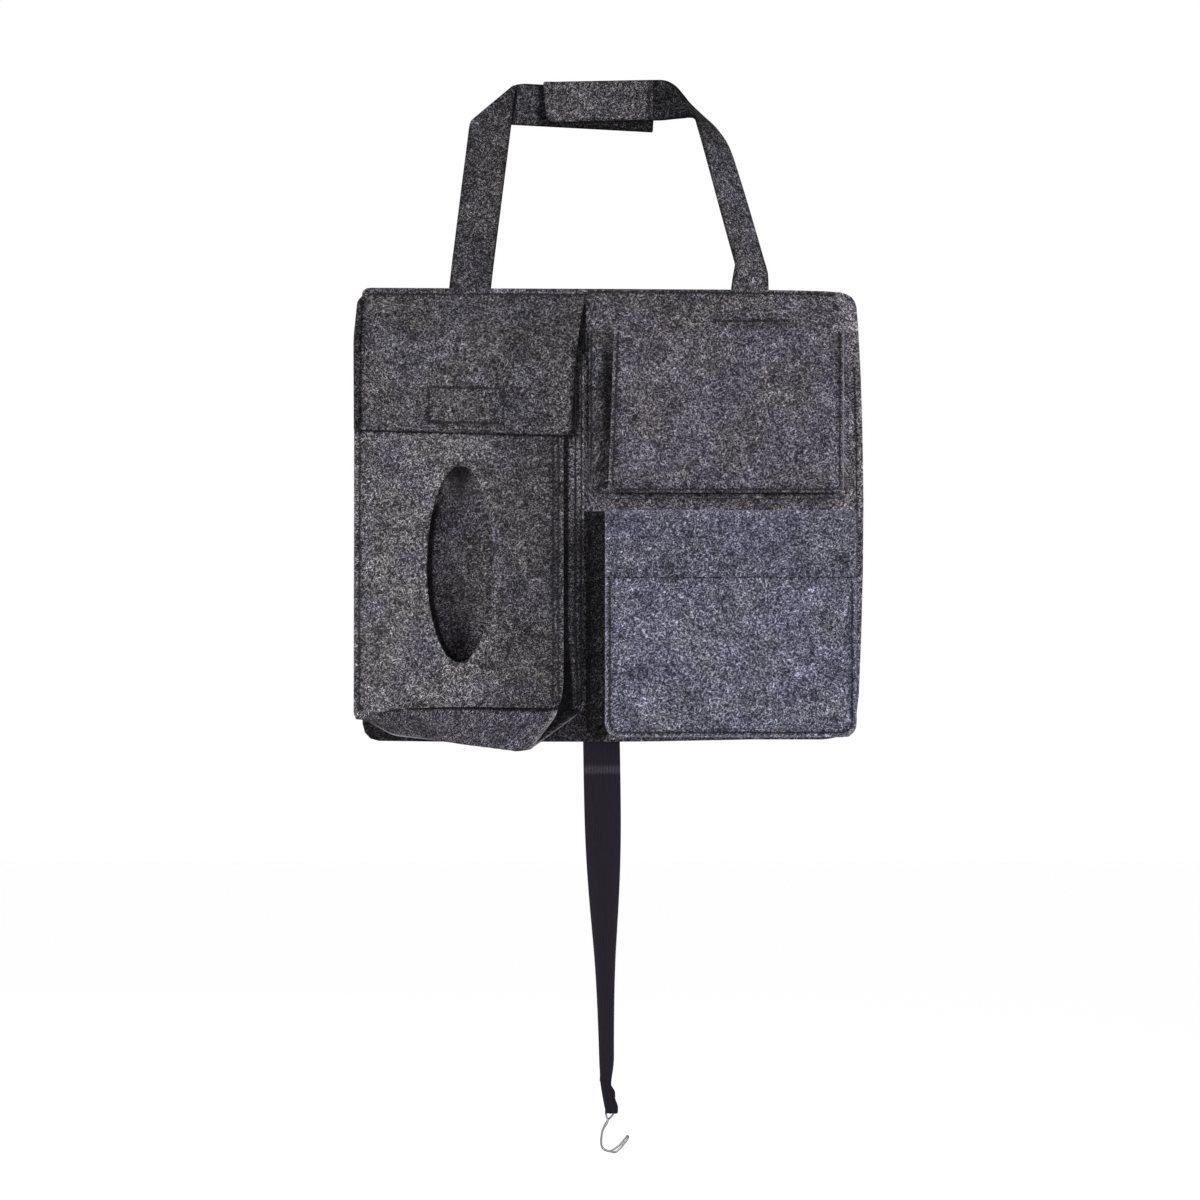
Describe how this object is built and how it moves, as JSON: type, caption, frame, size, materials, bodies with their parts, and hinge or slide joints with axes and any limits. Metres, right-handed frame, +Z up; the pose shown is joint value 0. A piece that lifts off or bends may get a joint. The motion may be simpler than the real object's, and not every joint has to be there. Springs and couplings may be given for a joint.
{
  "type": "car seat organizer",
  "caption": "Felt car seat organizer: a flat panel on a headrest strap, with a flap-topped tissue pouch, open pockets, and an elastic strap with a wire hook.",
  "frame": {"origin": "the middle of the headrest strap's top, at its lower edge, where it rests over the headrest's posts, in the plane of the panel's front", "axes": "+Z up, +X to the right as seen from the rear passenger's seat, +Y towards the seat back that the panel lies against"},
  "size_m": [0.423, 0.0509, 0.9029],
  "materials": {
    "felt": "heathered charcoal felt, matt and fibrous",
    "hook_and_loop": "black hook-and-loop tape",
    "elastic": "black ribbed elastic webbing",
    "steel": "bright drawn wire"
  },
  "bodies": {
    "headrest_strap": {"strap_left": "felt", "strap_right": "felt", "strap_hook_patch": "hook_and_loop"},
    "tab": {"strap_tab": "felt", "strap_loop_patch": "hook_and_loop"},
    "panel": {"back_panel": "felt", "strap_foot_left": "felt", "strap_foot_right": "felt", "elastic_foot": "elastic", "flap_foot": "felt", "pouch_face": "felt", "pouch_gusset_left": "felt", "pouch_gusset_right": "felt", "pouch_gusset_floor": "felt", "pouch_hook_patch": "hook_and_loop", "upper_pocket_face": "felt", "upper_pocket_gusset_left": "felt", "upper_pocket_gusset_right": "felt", "upper_pocket_gusset_floor": "felt", "lower_pocket_face": "felt", "lower_pocket_gusset_left": "felt", "lower_pocket_gusset_right": "felt", "lower_pocket_gusset_floor": "felt", "slip_pocket": "felt"},
    "flap": {"pouch_flap": "felt", "flap_loop_patch": "hook_and_loop"},
    "elastic": {"elastic_strap": "elastic"},
    "elastic_end": {"elastic_loop": "elastic"},
    "hook": {"seat_hook": "steel"}
  },
  "joints": [
    {"name": "panel_swing", "type": "hinge", "parent": "headrest_strap", "child": "panel", "pos_m": [0, 0.0015, -0.1368], "axis": [1, 0, 0], "range_deg": [-20, 90]},
    {"name": "strap_tab_peel", "type": "hinge", "parent": "headrest_strap", "child": "tab", "pos_m": [0.0328, -0.00135, 0], "axis": [0, 0, 1], "range_deg": [0, 110]},
    {"name": "flap_open", "type": "hinge", "parent": "panel", "child": "flap", "pos_m": [0, -0.00305, -0.1466], "axis": [-1, 0, 0], "range_deg": [0, 150]},
    {"name": "elastic_swing", "type": "hinge", "parent": "panel", "child": "elastic", "pos_m": [0, 0.0022, -0.5197], "axis": [1, 0, 0], "range_deg": [-90, 90]},
    {"name": "elastic_stretch", "type": "slide", "parent": "elastic", "child": "elastic_end", "axis": [0, 0, -1], "range_m": [0, 0.14], "stiffness_N_per_m": 80, "deforming": ["elastic_strap"]},
    {"name": "hook_swing", "type": "hinge", "parent": "elastic_end", "child": "hook", "pos_m": [0, 0.0038, -0.829], "axis": [1, 0, 0], "range_deg": [-90, 90]}
  ]
}
